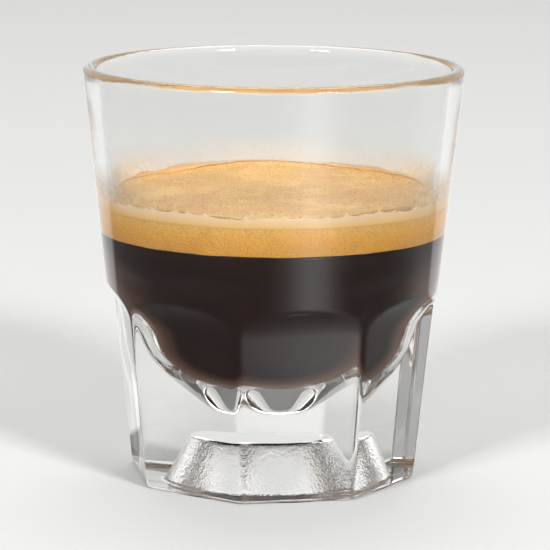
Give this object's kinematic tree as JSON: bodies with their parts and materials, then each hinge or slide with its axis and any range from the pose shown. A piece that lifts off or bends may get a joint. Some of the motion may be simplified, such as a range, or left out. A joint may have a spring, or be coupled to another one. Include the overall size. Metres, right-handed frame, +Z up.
{
  "type": "americano in a faceted glass",
  "caption": "Short black coffee under a thick golden crema, in a clear tapered tumbler with flat panels, arched shoulders, a heavy base and a recess under its foot.",
  "frame": {"origin": "centre of the foot, on the surface that the glass stands on", "axes": "+Z up along the axis of the glass, -Y out through the middle of one panel"},
  "size_m": [0.0728, 0.0728, 0.0794],
  "materials": {
    "clear_glass": "clear, fire-polished",
    "dark_coffee": "dark brown liquid",
    "golden_crema": "fine wet foam"
  },
  "bodies": {
    "root": {"glass": "clear_glass", "coffee": "dark_coffee", "crema": "golden_crema"}
  },
  "joints": []
}
